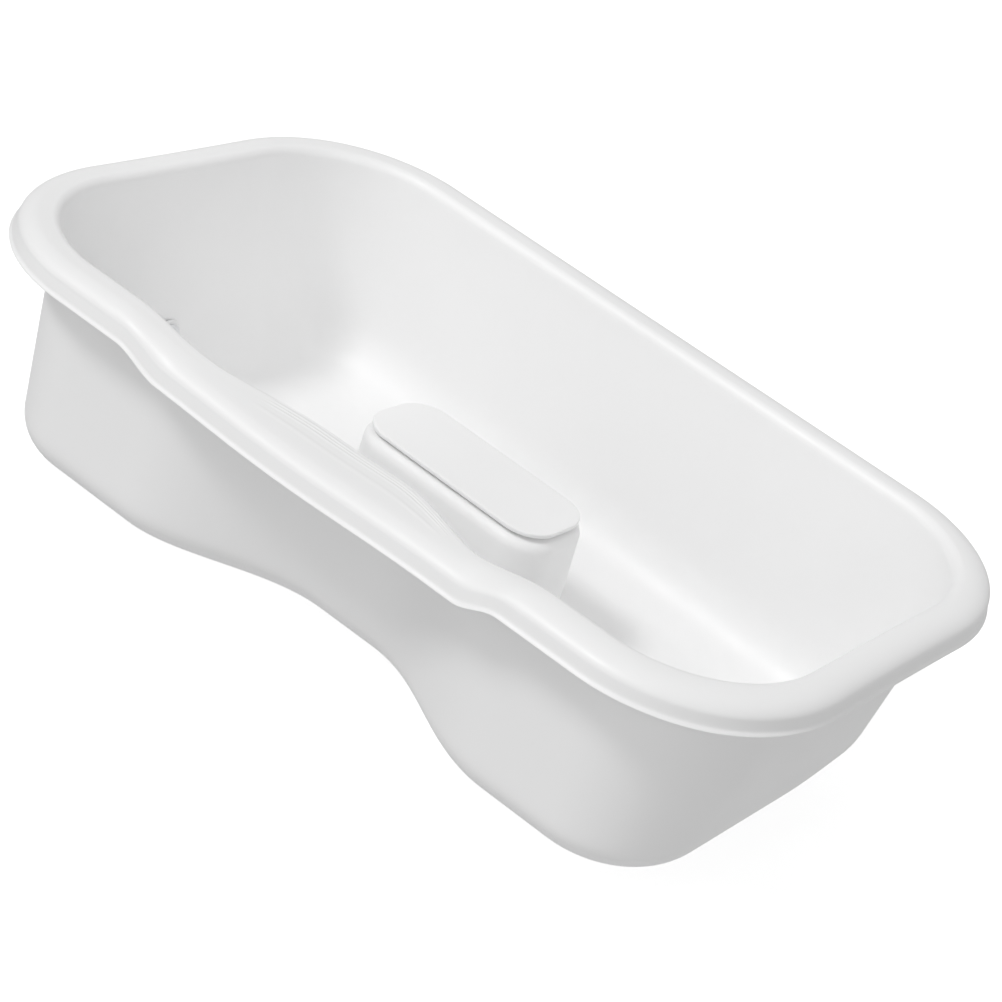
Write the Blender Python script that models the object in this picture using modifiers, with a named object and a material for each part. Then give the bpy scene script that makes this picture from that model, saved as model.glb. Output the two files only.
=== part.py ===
"""Baby bathtub.

A one-piece moulded tub with a rolled rim that dips into an armrest on its near side, a raised box in the
middle of the floor with a lift-off lid over a well, a drain with a pull-out plug low in the head end wall,
and four non-slip pads under it.

Metres, +Z up. X runs along the tub from the head end (-X, the wider one) to the foot end, and -Y is the
near side, with the armrest. The origin is on the surface that the tub stands on, in the middle of it.
"""

import math

import bmesh
import bpy
import numpy as np
from mathutils import Matrix, Vector

# Sizes of the tub. Its lip lies in a square-cornered outline of this length, and of these widths at its
# ends: the ends curve inwards a little, so the tub itself is 0.860 long.
LENGTH = 0.8705
HEAD_WIDTH = 0.515
FOOT_WIDTH = 0.467
RIM_TOP = 0.226
PAD_HEIGHT = 0.003
WALL = 0.0035
GAP = 0.0003
CHAMFER = 0.001

# The lip's outline: corner radii, and how far its ends curve inwards at mid-width
LIP_RADIUS_HEAD = 0.157
LIP_RADIUS_FOOT = 0.149
END_HOLLOW = 0.0062
END_HOLLOW_POWER = 8

# The rim, across it: a skirt that flares out to the lip, a quarter turn up to the crest, and a quarter turn
# down into the tub. The rim's width runs from the lip to the inner wall.
RIM_WIDTH_HEAD = 0.0425
RIM_WIDTH_FOOT = 0.0375
SKIRT_HEIGHT = 0.0243
SKIRT_LEAN = 0.003
FLARE_DEPTH = 0.0025
FLARE_HEIGHT = 0.0035
OUTER_TURN = 0.0147
INNER_TURN = 0.0155

# The armrest: where the near rim steps down and up again, how deep, and how far it widens inwards
HEAD_STEP_AT_LIP = (-0.195, -0.145)
HEAD_STEP_INSIDE = (-0.212, -0.108)
FOOT_STEP_AT_LIP = (0.178, 0.218)
FOOT_STEP_INSIDE = (0.150, 0.242)
ARMREST_DIP = 0.0125
ARMREST_SAG = 0.0045
ARMREST_SAG_MIDDLE = -0.015
ARMREST_SAG_REACH = 0.165
ARMREST_BULGE = 0.0265
BULGE_HEAD_RAMP = (-0.175, -0.010)
BULGE_FOOT_RAMP = (0.062, 0.180)
BULGE_FULL_INSET = 0.030

# The body, inside: how much further in the floor's outline lies than the rim's inner edge, its waist on the
# near side, the fillet round the floor, and how far down the walls the end hollows and the armrest's dip reach
INSET_HEAD = 0.0273
INSET_FOOT = 0.0360
INSET_NEAR_HEAD = 0.0075
INSET_NEAR_FOOT = 0.0205
INSET_FAR = 0.0075
FLOOR_RADIUS = 0.081
WAIST_DEPTH = 0.062
WAIST_MIDDLE = 0.013
WAIST_FLAT = 0.030
WAIST_RAMP = 0.175
FILLET_NEAR = 0.0325
FILLET_FAR = 0.054
FILLET_CHANGE = (0.040, 0.160)
HOLLOW_ENDS = 0.45
DIP_ENDS = 0.7

# The raised box, its well and its lid
LID_LENGTH = 0.2065
LID_WIDTH = 0.0835
LID_RADIUS = 0.031
LID_THICKNESS = 0.004
LID_TOP = RIM_TOP - 0.0914
BOX_MIDDLE = (0.0037, 0.0027)
BOX_MARGIN = 0.0045
BOX_DRAFT = 0.0035
BOX_SHOULDER = 0.012
BOX_FOOT_FILLET = 0.010
SEAT_WIDTH = 0.010
WELL_DEPTH = 0.062
WELL_DRAFT = 0.002
GASKET_THICKNESS = 0.002
GASKET_INSET = 0.001
BOX_TOP = LID_TOP - LID_THICKNESS - GASKET_THICKNESS - 2 * GAP
LID_SKIRT_HEIGHT = 0.008
LID_SKIRT_WALL = 0.002
LID_SKIRT_CLEARANCE = 0.0006

# The drain, low in the middle of the head end wall
DRAIN_HEIGHT = RIM_TOP - 0.171
DRAIN_HOLE_RADIUS = 0.0100
HOLE_REACH = 0.028
BUSH_RADIUS = 0.0096
BORE_RADIUS = 0.0073
FLANGE_RADIUS = 0.0140
FLANGE_THICKNESS = 0.0025
BUSH_TAIL = 0.0140
SEAL_THICKNESS = 0.0015
OUTER_SEAL_RADIUS = 0.0135
NUT_RADIUS = 0.0170
NUT_THICKNESS = 0.0060
PLUG_CAP_RADIUS = 0.0105
PLUG_CAP_THICKNESS = 0.0030
PLUG_STEM_LENGTH = 0.0080
PLUG_STEM_TAPER = 0.0008
TAB_WIDTH = 0.013
TAB_LENGTH = 0.012
TAB_THICKNESS = 0.003
TAB_RADIUS = 0.006
TAB_HOLE_RADIUS = 0.0030

# The non-slip pads under the floor
PAD_RADIUS = 0.016
PAD_CHAMFER = 0.0006
PAD_HEAD_X = -0.265
PAD_FOOT_X = 0.262
PAD_Y = 0.118

# Points round each ring of the tub: in each corner, along each side and along each end
CORNER_POINTS = 8
NEAR_POINTS = 30
FAR_POINTS = 9
END_POINTS = 3
RIM_TURN_RINGS = 3
WALL_RINGS = 5
FILLET_RINGS = 4
BOX_FOOT_RINGS = 3
SHOULDER_RINGS = 4

# Steps round the turned pieces, the tab's hole, and each corner of a plate
TURN_STEPS = 40
TAB_HOLE_STEPS = 20
LID_CORNER_POINTS = 12
CORNER_STEPS = 8
NUT_SIDES = 6

# Edges sharper than this, in degrees, stay sharp
SHARP_ANGLE = 35

FLOOR = PAD_HEIGHT + WALL


def smooth(value, start, end):
    """0 up to start, 1 from end on, and a smooth step between them."""
    t = np.clip((value - start) / (end - start), 0.0, 1.0)
    return t * t * (3.0 - 2.0 * t)


def swell(x, middle, flat, ramp):
    """1 within flat of the middle, falling to 0 over the ramp on each side as a cosine does."""
    t = np.clip((np.abs(x - middle) - flat) / ramp, 0.0, 1.0)
    return 0.5 + 0.5 * np.cos(math.pi * t)


def armrest_dip(x, across):
    """How far the near rim lies below the rest of the rim, from 0 at the lip to 1 at the inner wall."""
    head_step = np.add(HEAD_STEP_AT_LIP, across * np.subtract(HEAD_STEP_INSIDE, HEAD_STEP_AT_LIP))
    foot_step = np.add(FOOT_STEP_AT_LIP, across * np.subtract(FOOT_STEP_INSIDE, FOOT_STEP_AT_LIP))
    step = smooth(x, *head_step) * (1.0 - smooth(x, *foot_step))
    return step * (ARMREST_DIP + ARMREST_SAG * swell(x, ARMREST_SAG_MIDDLE, 0.0, ARMREST_SAG_REACH))


def armrest_bulge(x):
    return ARMREST_BULGE * smooth(x, *BULGE_HEAD_RAMP) * (1.0 - smooth(x, *BULGE_FOOT_RAMP))


def waist(x):
    return WAIST_DEPTH * swell(x, WAIST_MIDDLE, WAIST_FLAT, WAIST_RAMP)


def half_width(x):
    """Half the width of the lip's square-cornered outline at x."""
    return (HEAD_WIDTH + (FOOT_WIDTH - HEAD_WIDTH) * (x / LENGTH + 0.5)) / 2


def rounded_outline(corners, radii):
    """Points round a four-sided outline with rounded corners, counterclockwise from its near head corner."""
    arcs = []
    for i, corner in enumerate(corners):
        to_last = np.subtract(corners[i - 1], corner)
        to_next = np.subtract(corners[(i + 1) % 4], corner)
        to_last /= np.linalg.norm(to_last)
        to_next /= np.linalg.norm(to_next)
        half_angle = math.acos(np.clip(to_last @ to_next, -1.0, 1.0)) / 2
        middle = to_last + to_next
        centre = corner + middle / np.linalg.norm(middle) * radii[i] / math.sin(half_angle)
        start = corner + to_last * radii[i] / math.tan(half_angle) - centre
        first = math.atan2(start[1], start[0])
        turns = first + (math.pi - 2 * half_angle) * np.linspace(0.0, 1.0, CORNER_POINTS)
        arcs.append(centre + radii[i] * np.stack([np.cos(turns), np.sin(turns)], axis=1))
    points = []
    for i, count in enumerate((NEAR_POINTS, END_POINTS, FAR_POINTS, END_POINTS)):
        start = arcs[i][-1]
        end = arcs[(i + 1) % 4][0]
        along = np.linspace(0.0, 1.0, count + 2)[1:-1, None]
        points += [arcs[i], start + (end - start) * along]
    return np.concatenate(points)


def four_sided(x_head, x_foot, near_head, near_foot, far_head, far_foot, radius_head, radius_foot):
    corners = [(x_head, near_head), (x_foot, near_foot), (x_foot, far_foot), (x_head, far_head)]
    return rounded_outline(corners, (radius_head, radius_foot, radius_foot, radius_head))


def inset_outline(inset_head, inset_foot):
    """The lip's outline, set in by one distance at the head end and another at the foot end."""
    x_head = -LENGTH / 2 + inset_head
    x_foot = LENGTH / 2 - inset_foot
    y_head = half_width(x_head) - inset_head
    y_foot = half_width(x_foot) - inset_foot
    radii = (LIP_RADIUS_HEAD - inset_head, LIP_RADIUS_FOOT - inset_foot)
    return four_sided(x_head, x_foot, -y_head, -y_foot, y_head, y_foot, *radii)


def hollowed(outline, share):
    """The outline with its ends curved inwards, by this share of the lip's hollow at each point."""
    x, y = outline.T
    at_end = np.clip(np.abs(x) / (LENGTH / 2), 0.0, 1.0) ** END_HOLLOW_POWER
    hollow = share * END_HOLLOW * at_end * (1.0 - (2 * y / HEAD_WIDTH) ** 2)
    return np.stack([x - np.sign(x) * hollow, y], axis=1)


def lifted(outline, z):
    return np.column_stack([outline, np.broadcast_to(z, len(outline))])


def inward(outline):
    """Unit vectors that point into the outline, at each of its points."""
    along = np.roll(outline, -1, axis=0) - np.roll(outline, 1, axis=0)
    along /= np.linalg.norm(along, axis=1)[:, None]
    return np.stack([-along[:, 1], along[:, 0]], axis=1)


def rim_ring(inset_head, inset_foot, z):
    """A ring of the rim, with the armrest in its near side."""
    outline = hollowed(inset_outline(inset_head, inset_foot), 1.0)
    near = outline[:, 1] < 0
    widening = smooth(inset_foot, SKIRT_LEAN + OUTER_TURN, BULGE_FULL_INSET)
    outline[:, 1] += np.where(near, armrest_bulge(outline[:, 0]) * widening, 0.0)
    dip = armrest_dip(outline[:, 0], inset_foot / RIM_WIDTH_FOOT)
    return lifted(outline, RIM_TOP + z - np.where(near, dip, 0.0))


def floor_outline():
    """The outline that the inner walls would have at floor level, without the fillet or the waist."""
    x_head = -LENGTH / 2 + RIM_WIDTH_FOOT + INSET_HEAD
    x_foot = LENGTH / 2 - RIM_WIDTH_FOOT - INSET_FOOT
    near_head = -half_width(x_head) + RIM_WIDTH_FOOT + INSET_NEAR_HEAD
    near_foot = -half_width(x_foot) + RIM_WIDTH_FOOT + INSET_NEAR_FOOT
    far_head = half_width(x_head) - RIM_WIDTH_FOOT - INSET_FAR
    far_foot = half_width(x_foot) - RIM_WIDTH_FOOT - INSET_FAR
    return four_sided(
        x_head, x_foot, near_head, near_foot, far_head, far_foot, FLOOR_RADIUS, FLOOR_RADIUS
    )


def wall_rings():
    """The inner walls, the fillet round the floor, and the floor's edge."""
    top = RIM_TOP - INNER_TURN
    head = inset_outline(RIM_WIDTH_HEAD, RIM_WIDTH_FOOT)
    foot = floor_outline()
    fillet = FILLET_NEAR + (FILLET_FAR - FILLET_NEAR) * smooth(foot[:, 1], *FILLET_CHANGE)

    def at_height(z):
        down = (top - z) / (top - FLOOR)
        share = down[:, None]
        hollow = 1.0 - smooth(down, 0.0, HOLLOW_ENDS)
        outline = hollowed(head, hollow) * (1.0 - share) + foot * share
        near = outline[:, 1] < 0
        x = outline[:, 0]
        reach = armrest_bulge(x) * (1.0 - down) + waist(x) * down
        outline[:, 1] += np.where(near, reach, 0.0)
        return outline, near

    rings = []
    for step in range(1, WALL_RINGS + 1):
        share = step / WALL_RINGS
        z = top + (FLOOR + fillet - top) * share
        outline, near = at_height(z)
        dip = armrest_dip(outline[:, 0], 1.0) * (1.0 - smooth(share, 0.0, DIP_ENDS))
        rings.append(lifted(outline, z - np.where(near, dip, 0.0)))
    for step in range(1, FILLET_RINGS + 1):
        turn = math.pi / 2 * step / FILLET_RINGS
        z = FLOOR + fillet * (1.0 - math.sin(turn))
        outline, near = at_height(z)
        outline += inward(outline) * (fillet * (1.0 - math.cos(turn)))[:, None]
        rings.append(lifted(outline, z))
    return rings


def box_outline(margin, radius=None):
    """The lid's outline made larger by the margin on every side, with the tub's number of points."""
    x, y = BOX_MIDDLE
    length = LID_LENGTH / 2 + margin
    width = LID_WIDTH / 2 + margin
    radius = radius or LID_RADIUS + margin
    return four_sided(
        x - length, x + length, y - width, y - width, y + width, y + width, radius, radius
    )


def box_rings():
    """The raised box, from its foot up over its shoulder and down into the well."""
    rings = []
    base = BOX_MARGIN + BOX_DRAFT
    for turn in np.linspace(0.0, math.pi / 2, BOX_FOOT_RINGS):
        out = base + BOX_FOOT_FILLET * (1.0 - math.sin(turn))
        rings.append(lifted(box_outline(out), FLOOR + BOX_FOOT_FILLET * (1.0 - math.cos(turn))))
    for turn in np.linspace(0.0, math.pi / 2, SHOULDER_RINGS):
        out = BOX_MARGIN - BOX_SHOULDER * (1.0 - math.cos(turn))
        rings.append(lifted(box_outline(out), BOX_TOP - BOX_SHOULDER * (1.0 - math.sin(turn))))
    mouth = BOX_MARGIN - BOX_SHOULDER - SEAT_WIDTH
    rings.append(lifted(box_outline(mouth), BOX_TOP))
    rings.append(lifted(box_outline(mouth - WELL_DRAFT), BOX_TOP - WELL_DEPTH))
    return rings


def rim_rings():
    """The rim, from the lip over the crest to the top of the inner wall."""
    rings = [rim_ring(0.0, 0.0, -SKIRT_HEIGHT)]
    rings.append(rim_ring(FLARE_DEPTH, FLARE_DEPTH, FLARE_HEIGHT - SKIRT_HEIGHT))
    for turn in np.linspace(0.0, math.pi / 2, RIM_TURN_RINGS + 1):
        inset = SKIRT_LEAN + OUTER_TURN * (1.0 - math.cos(turn))
        rings.append(rim_ring(inset, inset, -OUTER_TURN * (1.0 - math.sin(turn))))
    for turn in np.linspace(0.0, math.pi / 2, RIM_TURN_RINGS + 1):
        short = INNER_TURN * (1.0 - math.sin(turn))
        down = INNER_TURN * (1.0 - math.cos(turn))
        rings.append(rim_ring(RIM_WIDTH_HEAD - short, RIM_WIDTH_FOOT - short, -down))
    return rings


def collection(name):
    made = bpy.data.collections.new(name)
    bpy.context.scene.collection.children.link(made)
    return made


def material(name, colour, roughness):
    made = bpy.data.materials.new(name)
    made.use_nodes = True
    shader = made.node_tree.nodes["Principled BSDF"]
    shader.inputs["Base Color"].default_value = (*colour, 1.0)
    shader.inputs["Roughness"].default_value = roughness
    shader.inputs["Metallic"].default_value = 0.0
    made.diffuse_color = (*colour, 1.0)
    return made


def add_object(name, mesh, group, surface=None):
    made = bpy.data.objects.new(name, mesh)
    group.objects.link(made)
    if surface:
        mesh.materials.append(surface)
    return made


def round_off(obj, angle=SHARP_ANGLE):
    obj.data.shade_smooth()
    obj.data.set_sharp_from_angle(angle=math.radians(angle))


def boolean(obj, operation, other):
    cut = obj.modifiers.new(f"{operation.lower()} {other.name}", "BOOLEAN")
    cut.operation = operation
    cut.object = other
    cut.solver = "EXACT"


def make_helper(obj):
    obj.hide_render = True
    obj.display_type = "WIRE"
    return obj


def loft(name, rings, group, surface):
    """An open surface through the rings, closed across the last one. Its faces point up and into the tub."""
    count = len(rings[0])
    faces = []
    for level in range(len(rings) - 1):
        for i in range(count):
            j = (i + 1) % count
            faces.append(
                (level * count + i, level * count + j, (level + 1) * count + j, (level + 1) * count + i)
            )
    last = (len(rings) - 1) * count
    faces.append(tuple(range(last, last + count)))
    mesh = bpy.data.meshes.new(name)
    mesh.from_pydata(np.concatenate(rings).tolist(), [], faces)
    return add_object(name, mesh, group, surface)


def flat_piece(name, outlines, thickness, group, surface=None):
    """A plate of this thickness, centred on its own XY plane, from a closed outline and any holes in it."""
    curve = bpy.data.curves.new(name, "CURVE")
    curve.dimensions = "2D"
    curve.fill_mode = "BOTH"
    curve.extrude = thickness / 2
    for outline in outlines:
        spline = curve.splines.new("POLY")
        spline.points.add(len(outline) - 1)
        spline.use_cyclic_u = True
        for point, (x, y) in zip(spline.points, outline):
            point.co = (x, y, 0.0, 1.0)
    guide = add_object(f"{name}_outline", curve, group)
    graph = bpy.context.evaluated_depsgraph_get()
    mesh = bpy.data.meshes.new_from_object(guide.evaluated_get(graph))
    bpy.data.objects.remove(guide)
    work = bmesh.new()
    work.from_mesh(mesh)
    bmesh.ops.remove_doubles(work, verts=work.verts, dist=1e-6)
    bmesh.ops.recalc_face_normals(work, faces=work.faces)
    work.to_mesh(mesh)
    work.free()
    mesh.name = name
    return add_object(name, mesh, group, surface)


def rounded_rectangle(length, width, radius, corner_points=CORNER_STEPS):
    points = []
    for i, (side_x, side_y) in enumerate(((1, -1), (1, 1), (-1, 1), (-1, -1))):
        centre_x = side_x * (length / 2 - radius)
        centre_y = side_y * (width / 2 - radius)
        for turn in np.linspace(0.0, math.pi / 2, corner_points) + (i - 1) * math.pi / 2:
            points.append((centre_x + radius * math.cos(turn), centre_y + radius * math.sin(turn)))
    return points


def circle(radius, count=TURN_STEPS, centre=(0.0, 0.0)):
    turns = [2 * math.pi * i / count for i in range(count)]
    return [(centre[0] + radius * math.cos(t), centre[1] + radius * math.sin(t)) for t in turns]


def turned_piece(name, profile, closed, group, surface=None):
    """A body turned round its own Z axis, from (radius, height) points that run down its outer side."""
    mesh = bpy.data.meshes.new(name)
    edges = [(i, i + 1) for i in range(len(profile) - 1)]
    if closed:
        edges.append((len(profile) - 1, 0))
    mesh.from_pydata([(radius, 0.0, height) for radius, height in profile], edges, [])
    made = add_object(name, mesh, group, surface)
    turn = made.modifiers.new("turn", "SCREW")
    turn.axis = "Z"
    turn.steps = TURN_STEPS
    turn.render_steps = TURN_STEPS
    turn.use_merge_vertices = True
    turn.merge_threshold = 1e-5
    turn.use_smooth_shade = True
    return made


def tub_rings():
    return rim_rings() + wall_rings() + box_rings()


def add_tub(group, helpers, surface):
    tub = loft("tub_shell", tub_rings(), group, surface)
    shell = tub.modifiers.new("wall", "SOLIDIFY")
    shell.thickness = WALL
    shell.offset = -1.0
    shell.use_even_offset = True
    reach = HOLE_REACH
    hole = turned_piece(
        "drain_hole",
        [(0.0, reach), (DRAIN_HOLE_RADIUS, reach), (DRAIN_HOLE_RADIUS, -reach), (0.0, -reach)],
        False,
        helpers,
    )
    hole.matrix_world = drain_frame()
    boolean(tub, "DIFFERENCE", make_helper(hole))
    round_off(tub)
    return tub


def drain_frame():
    """A frame on the head wall's inner face: its Z axis is square to the wall and points into the tub."""
    top = Vector((-LENGTH / 2 + RIM_WIDTH_HEAD, 0.0, RIM_TOP - INNER_TURN))
    bottom = Vector((-LENGTH / 2 + RIM_WIDTH_FOOT + INSET_HEAD, 0.0, FLOOR))
    up = (top - bottom).normalized()
    side = Vector((0.0, 1.0, 0.0))
    into = side.cross(up)
    frame = Matrix((side, up, into)).transposed().to_4x4()
    frame.translation = top + (bottom - top) * (top.z - DRAIN_HEIGHT) / (top.z - bottom.z)
    return frame


def washer(inner, outer, low, high):
    """The profile of a flat ring."""
    return [(inner, high), (outer, high), (outer, low), (inner, low)]


def add_drain(group, helpers, rubber, plastic, plug_plastic):
    """The drain's bush through the head wall, its two seals, the nut outside, and the plug."""
    frame = drain_frame()
    flange_low = SEAL_THICKNESS + 2 * GAP
    flange_high = flange_low + FLANGE_THICKNESS
    seal = washer(BUSH_RADIUS + GAP, FLANGE_RADIUS - CHAMFER, GAP, GAP + SEAL_THICKNESS)
    bush = [
        (BORE_RADIUS, flange_high),
        (FLANGE_RADIUS - CHAMFER, flange_high),
        (FLANGE_RADIUS, flange_high - CHAMFER),
        (FLANGE_RADIUS, flange_low),
        (BUSH_RADIUS, flange_low),
        (BUSH_RADIUS, -WALL - BUSH_TAIL),
        (BORE_RADIUS, -WALL - BUSH_TAIL),
    ]
    outer_seal_high = -WALL - GAP
    outer_seal_low = outer_seal_high - SEAL_THICKNESS
    outer_seal = washer(BUSH_RADIUS + GAP, OUTER_SEAL_RADIUS, outer_seal_low, outer_seal_high)
    turned_piece("drain_inner_seal", seal, True, group, rubber).matrix_world = frame
    turned_piece("drain_bush", bush, True, group, plastic).matrix_world = frame
    turned_piece("drain_outer_seal", outer_seal, True, group, rubber).matrix_world = frame
    nut_outlines = [circle(NUT_RADIUS, NUT_SIDES), circle(BUSH_RADIUS + GAP)]
    nut = flat_piece("drain_nut", nut_outlines, NUT_THICKNESS, group, plastic)
    nut_middle = outer_seal_low - GAP - NUT_THICKNESS / 2
    nut.matrix_world = frame @ Matrix.Translation((0.0, 0.0, nut_middle))
    add_plug(group, helpers, frame, flange_high + GAP, plug_plastic)


def add_plug(group, helpers, frame, seat, plastic):
    """The plug, with its cap resting on the bush at this height, its stem in the bore and a pull tab."""
    cap_top = seat + PLUG_CAP_THICKNESS
    profile = [
        (0.0, cap_top),
        (PLUG_CAP_RADIUS - CHAMFER, cap_top),
        (PLUG_CAP_RADIUS, cap_top - CHAMFER),
        (PLUG_CAP_RADIUS, seat),
        (BORE_RADIUS - GAP, seat),
        (BORE_RADIUS - GAP - PLUG_STEM_TAPER, seat - PLUG_STEM_LENGTH),
        (0.0, seat - PLUG_STEM_LENGTH),
    ]
    plug = turned_piece("drain_plug", profile, False, group, plastic)
    plug.matrix_world = frame
    outlines = [
        rounded_rectangle(TAB_LENGTH, TAB_WIDTH, TAB_RADIUS),
        circle(TAB_HOLE_RADIUS, TAB_HOLE_STEPS),
    ]
    tab = flat_piece("plug_tab", outlines, TAB_THICKNESS, helpers)
    lift = Matrix.Translation((0.0, 0.0, cap_top + TAB_LENGTH / 2 - PLUG_CAP_THICKNESS / 2))
    tab.matrix_world = frame @ lift @ Matrix.Rotation(math.pi / 2, 4, "Y")
    boolean(plug, "UNION", make_helper(tab))


def add_lid(group, helpers, surface, rubber):
    x, y = BOX_MIDDLE
    plate = flat_piece(
        "lid",
        [rounded_rectangle(LID_LENGTH, LID_WIDTH, LID_RADIUS, LID_CORNER_POINTS)],
        LID_THICKNESS,
        group,
        surface,
    )
    plate.location = (x, y, LID_TOP - LID_THICKNESS / 2)
    edge = plate.modifiers.new("edge", "BEVEL")
    edge.width = CHAMFER
    edge.segments = 2
    edge.limit_method = "ANGLE"
    mouth = BOX_MARGIN - BOX_SHOULDER - SEAT_WIDTH
    skirt_margin = mouth - LID_SKIRT_CLEARANCE
    outer = skirt_outline(skirt_margin)
    inner = skirt_outline(skirt_margin - LID_SKIRT_WALL)
    height = LID_SKIRT_HEIGHT + LID_THICKNESS / 2
    skirt = flat_piece("lid_skirt", [outer, inner], height, helpers)
    skirt.location = (x, y, LID_TOP - LID_THICKNESS / 2 - height / 2)
    boolean(plate, "UNION", make_helper(skirt))
    round_off(plate)
    gasket = flat_piece(
        "lid_gasket",
        [
            skirt_outline(BOX_MARGIN - BOX_SHOULDER - GASKET_INSET),
            skirt_outline(mouth + GASKET_INSET),
        ],
        GASKET_THICKNESS,
        group,
        rubber,
    )
    gasket.location = (x, y, BOX_TOP + GAP + GASKET_THICKNESS / 2)


def skirt_outline(margin):
    """The lid's outline made larger by the margin on every side."""
    return rounded_rectangle(
        LID_LENGTH + 2 * margin, LID_WIDTH + 2 * margin, LID_RADIUS + margin
    )


def add_pads(group, rubber):
    top = PAD_HEIGHT - GAP
    profile = [
        (0.0, top),
        (PAD_RADIUS, top),
        (PAD_RADIUS, PAD_CHAMFER),
        (PAD_RADIUS - PAD_CHAMFER, 0.0),
        (0.0, 0.0),
    ]
    for end, x in (("head", PAD_HEAD_X), ("foot", PAD_FOOT_X)):
        for side, y in (("near", -PAD_Y), ("far", PAD_Y)):
            pad = turned_piece(f"grip_pad_{end}_{side}", profile, False, group, rubber)
            pad.location = (x, y, 0.0)


def main():
    for old in list(bpy.data.objects):
        bpy.data.objects.remove(old)
    parts = collection("baby_bathtub")
    cutters = collection("cutters")
    cutters.hide_render = True
    white = material("tub plastic", (0.86, 0.87, 0.87), 0.38)
    lid_white = material("lid plastic", (0.90, 0.90, 0.90), 0.42)
    grey_rubber = material("grey rubber", (0.42, 0.43, 0.44), 0.75)
    fitting_white = material("fitting plastic", (0.82, 0.83, 0.83), 0.40)
    plug_white = material("plug plastic", (0.80, 0.81, 0.82), 0.50)
    add_tub(parts, cutters, white)
    add_lid(parts, cutters, lid_white, grey_rubber)
    add_drain(parts, cutters, grey_rubber, fitting_white, plug_white)
    add_pads(parts, grey_rubber)


main()
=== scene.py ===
"""Baby bathtub: the looks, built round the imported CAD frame.

Metres, +Z up. X runs along the tub from the head end (-X, the wider one) to the foot end, and -Y is the
near side, with the armrest.
"""

import math

import bmesh
import bpy
import numpy as np
from mathutils import Matrix, Vector


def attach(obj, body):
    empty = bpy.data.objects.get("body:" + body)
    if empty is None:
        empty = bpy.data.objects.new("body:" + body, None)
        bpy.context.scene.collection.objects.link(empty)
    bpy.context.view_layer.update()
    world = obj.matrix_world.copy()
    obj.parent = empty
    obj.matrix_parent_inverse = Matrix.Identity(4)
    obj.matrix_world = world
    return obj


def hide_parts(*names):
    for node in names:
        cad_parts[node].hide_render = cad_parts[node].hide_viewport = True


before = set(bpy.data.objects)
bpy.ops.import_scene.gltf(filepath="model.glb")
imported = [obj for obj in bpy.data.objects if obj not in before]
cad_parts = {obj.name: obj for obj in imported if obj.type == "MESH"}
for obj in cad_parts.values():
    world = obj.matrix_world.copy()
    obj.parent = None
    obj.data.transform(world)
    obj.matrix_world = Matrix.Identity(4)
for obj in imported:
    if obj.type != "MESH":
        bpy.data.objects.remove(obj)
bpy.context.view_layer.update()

# The tub, as in the CAD: its lip's square-cornered outline, its height, and its wall
LENGTH = 0.8705
HEAD_WIDTH = 0.515
FOOT_WIDTH = 0.467
RIM_TOP = 0.226
PAD_HEIGHT = 0.003
WALL = 0.0035
GAP = 0.0003

# The lip's outline: corner radii, counterclockwise from the near head corner, and how far its ends curve
# inwards at mid-width
LIP_RADII = (0.161, 0.149, 0.149, 0.157)
END_HOLLOW = 0.0062
END_HOLLOW_POWER = 8

# The rim, across it: a skirt, an outer turn that is a quarter of an ellipse, and a round inner turn
RIM_WIDTH_HEAD = 0.0425
RIM_WIDTH_FOOT = 0.0375
SKIRT_HEIGHT = 0.0243
SKIRT_LEAN_HEAD = 0.0055
SKIRT_LEAN_FOOT = 0.0028
OUTER_TURN_HEAD = 0.0160
OUTER_TURN_FOOT = 0.0250
OUTER_TURN_HEIGHT = 0.0120
INNER_TURN = 0.0090
WALL_START = 0.0155
WALL_TOP = RIM_TOP - WALL_START

# The armrest: where the near rim steps down and up again, how deep, and how far it widens inwards
HEAD_STEP_AT_LIP = (-0.195, -0.145)
HEAD_STEP_INSIDE = (-0.212, -0.108)
FOOT_STEP_AT_LIP = (0.178, 0.218)
FOOT_STEP_INSIDE = (0.150, 0.242)
ARMREST_DIP = 0.0125
ARMREST_SAG = 0.0045
ARMREST_SAG_MIDDLE = -0.015
ARMREST_SAG_REACH = 0.165
ARMREST_BULGE = 0.0265
BULGE_HEAD_RAMP = (-0.175, -0.010)
BULGE_FOOT_RAMP = (0.062, 0.180)
BULGE_INSETS = (0.0177, 0.030)

# The body, inside: how far in the floor's outline lies, its waist, and the fillet round the floor
INSET_HEAD = 0.0273
INSET_FOOT = 0.0360
INSET_NEAR_HEAD = 0.0075
INSET_NEAR_FOOT = 0.0205
INSET_FAR = 0.0075
FLOOR_RADIUS = 0.081
WAIST_DEPTH = 0.062
WAIST_MIDDLE = 0.013
WAIST_FLAT = 0.030
WAIST_RAMP = 0.175
FILLET_NEAR = 0.0325
FILLET_FAR = 0.054
FILLET_CHANGE = (0.040, 0.160)
HOLLOW_ENDS = 0.45
DIP_ENDS = 0.7
FLOOR = PAD_HEIGHT + WALL

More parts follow.
